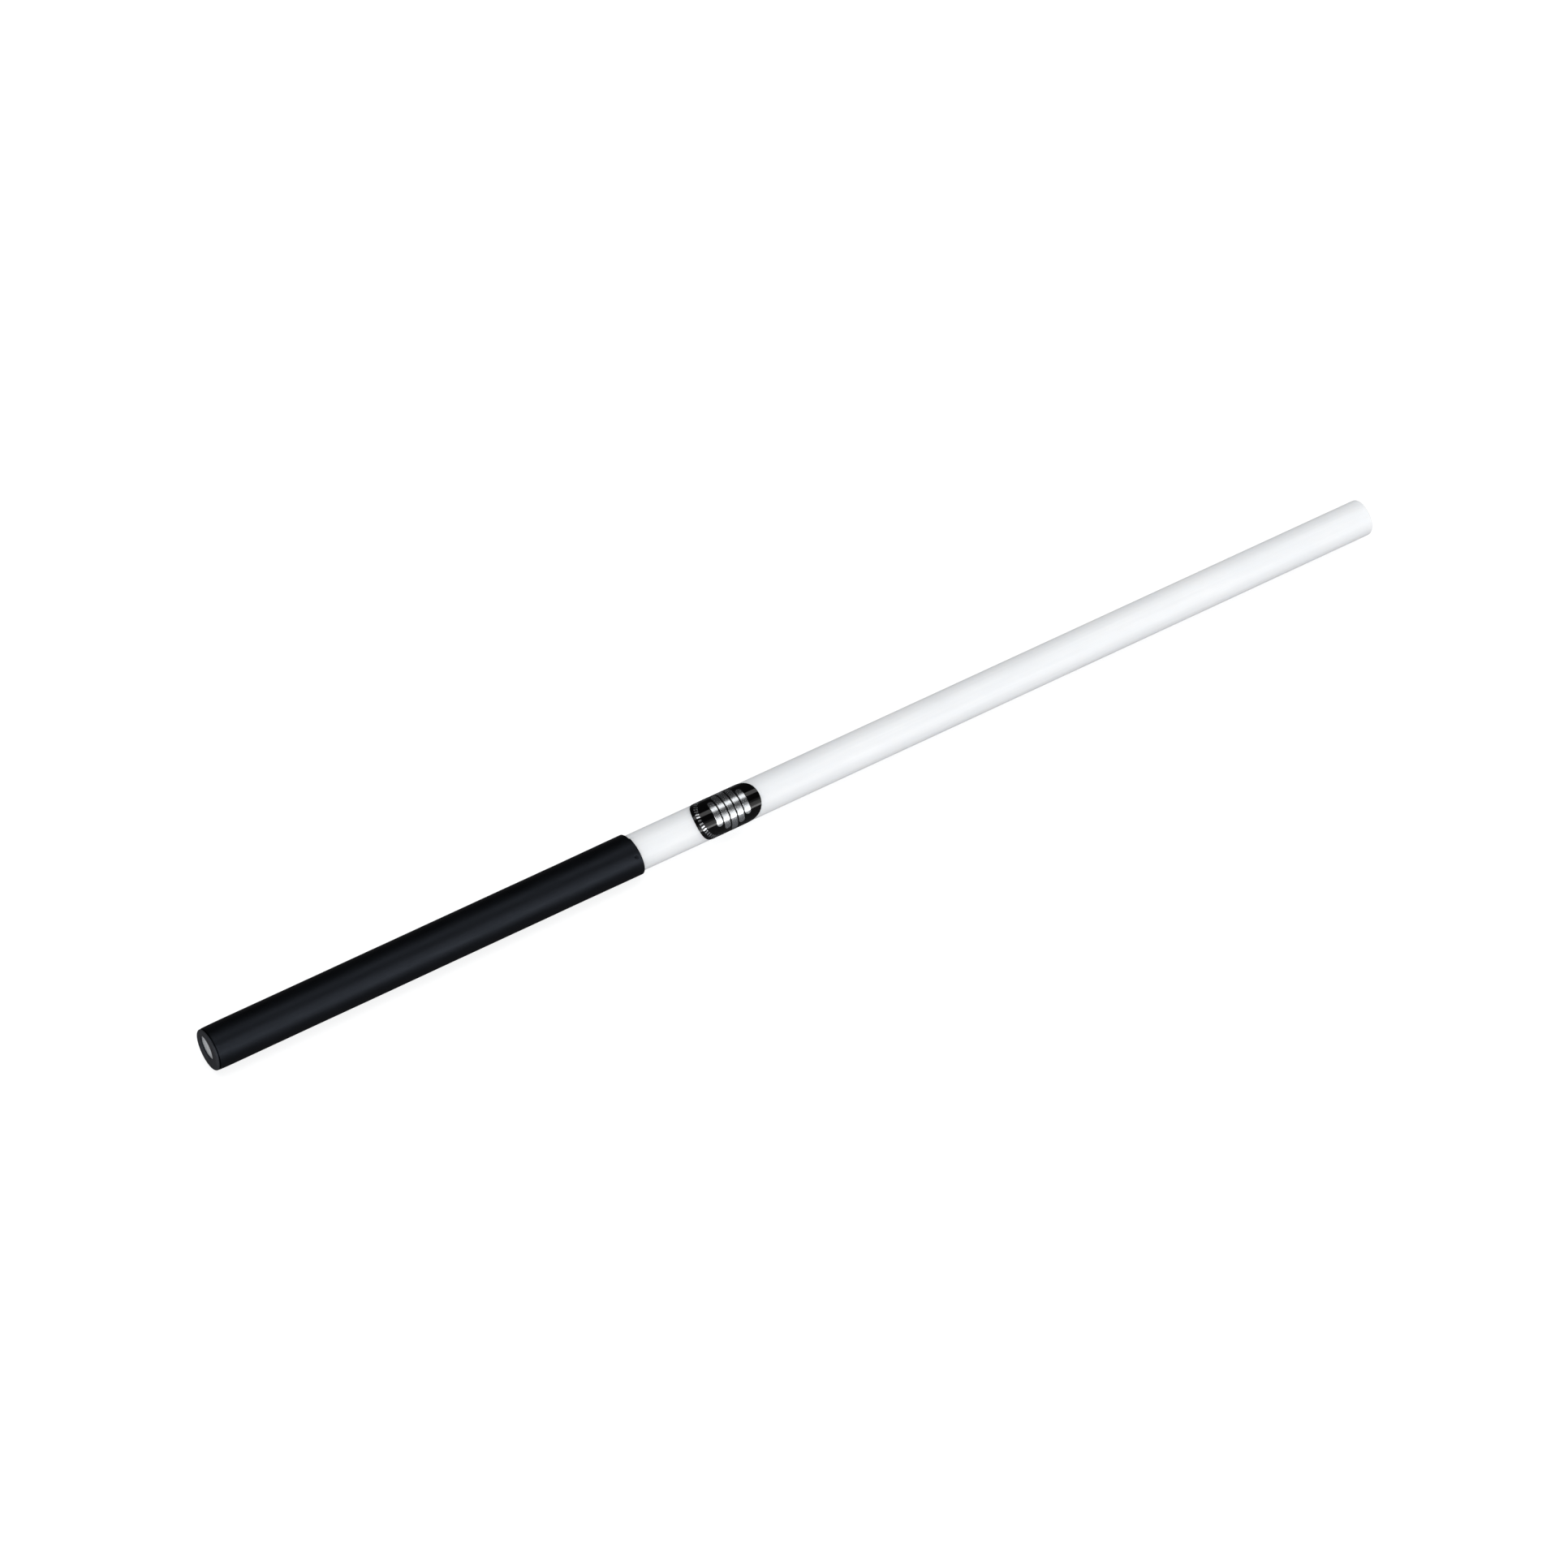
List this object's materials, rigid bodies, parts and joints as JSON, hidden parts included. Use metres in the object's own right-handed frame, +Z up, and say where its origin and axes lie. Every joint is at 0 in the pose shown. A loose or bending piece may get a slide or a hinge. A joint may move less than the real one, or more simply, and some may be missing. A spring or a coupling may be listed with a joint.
{
  "type": "samba drumstick",
  "caption": "Straight white plastic rod drumstick with a black rubber sleeve grip open at its end lip, and a round black label with a silver print wrapped on the rod.",
  "frame": {"origin": "centre of the butt end face, which is the outer face of the grip's end lip, on the rod's axis", "axes": "+X along the rod from the grip to the tip, the stick lying on its side, +Z up, and the label's centre turned 33 degrees from +Z towards -Y"},
  "size_m": [0.42, 0.0134, 0.0134],
  "materials": {
    "rod": "semi-matte white polyamide",
    "grip_sleeve": "satin black vinyl rubber",
    "label_film": "gloss black film",
    "label_print": "silver foil print"
  },
  "bodies": {
    "root": {"rod": "rod", "grip_sleeve": "grip_sleeve", "label_film": "label_film", "label_print": "label_print"}
  },
  "joints": []
}
